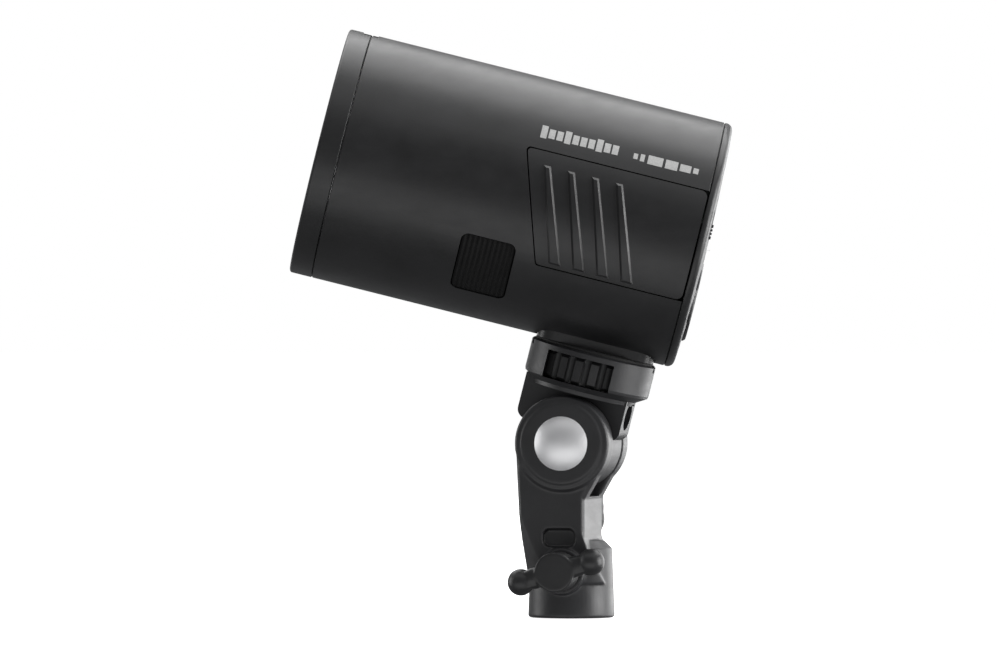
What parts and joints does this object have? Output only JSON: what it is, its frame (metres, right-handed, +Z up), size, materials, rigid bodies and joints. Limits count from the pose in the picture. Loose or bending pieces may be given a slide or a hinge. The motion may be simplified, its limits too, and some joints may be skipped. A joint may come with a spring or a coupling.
{
  "type": "monolight strobe",
  "caption": "Compact can-shaped battery flash head on a tilting bracket with an umbrella bore, a thumbwheel camera screw and a socket that clamps on a light stand.",
  "frame": {"origin": "centre of the light-stand socket's mouth", "axes": "+Z up along the stand socket, Y along the tilt axis, the lamp shines toward -X"},
  "size_m": [0.1375, 0.0998, 0.1786],
  "materials": {
    "casing": "fine spark-eroded texture, satin black",
    "bracket": "glass-filled nylon, satin black",
    "knob": "moulded, satin black",
    "rubber": "moulded rubber",
    "steel": "zinc plated",
    "dome": "satin turned",
    "brass": "turned",
    "nylon": "natural nylon",
    "lens": "prismatic frosted glass",
    "tube": "clear quartz glass",
    "mirror_bowl": "polished",
    "ceramic": "unglazed",
    "board": "solder-masked laminate",
    "lamp": "phosphor",
    "capacitor": "sleeved can",
    "component": "moulded",
    "metal_can": "tin plated",
    "display": "unlit display",
    "window": "hard-coated acrylic",
    "cells": "film sleeve",
    "dial": "fine knurled rim",
    "keys": "silicone keys",
    "test_key": "translucent"
  },
  "bodies": {
    "stand_arm": {"stand_socket_arm": "bracket", "stand_lock_insert": "brass", "pivot_bolt": "dome", "tilt_washers": "nylon"},
    "stand_lock": {"stand_lock_knob": "knob", "stand_lock_screw": "steel"},
    "tilt_lock": {"tilt_lever": "knob", "tilt_lever_nut": "brass"},
    "bracket_top": {"tilt_block": "bracket", "pivot_bush": "nylon", "platform_plate": "bracket", "platform_pad": "rubber"},
    "umbrella_lock": {"umbrella_lock_knob": "knob", "umbrella_lock_screw": "steel"},
    "screw_wheel": {"thumbwheel": "knob", "mounting_stud": "steel"},
    "head": {"front_bezel": "casing", "accessory_magnets": "steel", "front_lens": "lens", "lens_gasket": "rubber", "reflector": "mirror_bowl", "flash_tube": "tube", "tube_holder": "ceramic", "lamp_board": "board", "modelling_lamps": "lamp", "left_shell": "casing", "right_shell": "casing", "casing_screws": "steel", "foot_plate": "casing", "thread_insert": "brass", "flash_capacitor": "capacitor", "main_board": "board", "power_inductor": "component", "trigger_transformer": "component", "radio_module": "metal_can", "control_board": "board", "display_module": "display", "display_window": "window", "dial_encoder": "component", "usb_socket": "metal_can", "sync_jack": "component", "port_board": "board", "battery_bay": "component", "bay_terminals": "brass", "release_spring": "steel", "rear_cover": "casing", "key_switches": "component"},
    "battery": {"battery_case": "casing", "battery_cells": "cells", "battery_contacts": "brass"},
    "release": {"release_button": "knob"},
    "dial": {"control_dial": "dial"},
    "set_key": {"set_button": "dial"},
    "mode_key": {"mode_button": "keys"},
    "group_key": {"group_button": "keys"},
    "lamp_key": {"lamp_button": "keys"},
    "menu_key": {"menu_button": "keys"},
    "test_key": {"test_button": "test_key"},
    "switch_knob": {"power_switch": "keys"},
    "port_flap": {"port_cover": "rubber"}
  },
  "joints": [
    {"name": "stand_lock_turn", "type": "hinge", "parent": "stand_arm", "child": "stand_lock", "pos_m": [0, -0.015, 0.0143], "axis": [0, 1, 0], "range_deg": [-450, 60]},
    {"name": "tilt_lever_turn", "type": "hinge", "parent": "stand_arm", "child": "tilt_lock", "pos_m": [0, 0.02, 0.053], "axis": [0, 1, 0], "range_deg": [-150, 30]},
    {"name": "head_tilt", "type": "hinge", "parent": "stand_arm", "child": "bracket_top", "pos_m": [0, 0, 0.053], "axis": [0, 1, 0], "range_deg": [-64.4, 75.6]},
    {"name": "umbrella_lock_turn", "type": "hinge", "parent": "bracket_top", "child": "umbrella_lock", "pos_m": [-0.01077, 0.018, 0.06815], "axis": [0, 1, 0], "range_deg": [-450, 60]},
    {"name": "screw_wheel_turn", "type": "hinge", "parent": "bracket_top", "child": "screw_wheel", "pos_m": [0.00597, 0, 0.07625], "axis": [0.2487, 0, 0.9686], "continuous": true},
    {"name": "head_swivel", "type": "hinge", "parent": "bracket_top", "child": "head", "pos_m": [0.00741, 0, 0.08186], "axis": [0.2487, 0, 0.9686], "continuous": true},
    {"name": "battery_slide", "type": "slide", "parent": "head", "child": "battery", "axis": [0.2113, -0.9759, -0.0542], "range_m": [0, 0.034]},
    {"name": "release_press", "type": "slide", "parent": "head", "child": "release", "axis": [-0.0344, 0.8062, 0.5906], "range_m": [0, 0.002], "stiffness_N_per_m": 600, "springref_m": -0.001, "deforming": ["release_spring"]},
    {"name": "dial_turn", "type": "hinge", "parent": "head", "child": "dial", "pos_m": [0.03456, 0.00506, 0.09657], "axis": [-0.9453, -0.2181, 0.2427], "continuous": true},
    {"name": "set_press", "type": "slide", "parent": "head", "child": "set_key", "axis": [-0.9453, -0.2181, 0.2427], "range_m": [0, 0.0006], "stiffness_N_per_m": 800, "springref_m": -0.0003},
    {"name": "mode_press", "type": "slide", "parent": "head", "child": "mode_key", "axis": [-0.9453, -0.2181, 0.2427], "range_m": [0, 0.0006], "stiffness_N_per_m": 800, "springref_m": -0.0003},
    {"name": "group_press", "type": "slide", "parent": "head", "child": "group_key", "axis": [-0.9453, -0.2181, 0.2427], "range_m": [0, 0.0006], "stiffness_N_per_m": 800, "springref_m": -0.0003},
    {"name": "lamp_press", "type": "slide", "parent": "head", "child": "lamp_key", "axis": [-0.9453, -0.2181, 0.2427], "range_m": [0, 0.0006], "stiffness_N_per_m": 800, "springref_m": -0.0003},
    {"name": "menu_press", "type": "slide", "parent": "head", "child": "menu_key", "axis": [-0.9453, -0.2181, 0.2427], "range_m": [0, 0.0006], "stiffness_N_per_m": 800, "springref_m": -0.0003},
    {"name": "test_press", "type": "slide", "parent": "head", "child": "test_key", "axis": [-0.9453, -0.2181, 0.2427], "range_m": [0, 0.0006], "stiffness_N_per_m": 800, "springref_m": -0.0003},
    {"name": "power_slide", "type": "slide", "parent": "head", "child": "switch_knob", "axis": [0.2487, 0, 0.9686], "range_m": [0, 0.004]},
    {"name": "port_cover_open", "type": "hinge", "parent": "head", "child": "port_flap", "pos_m": [-0.00544, 0.03379, 0.1244], "axis": [0.2487, 0, 0.9686], "range_deg": [0, 110]}
  ]
}
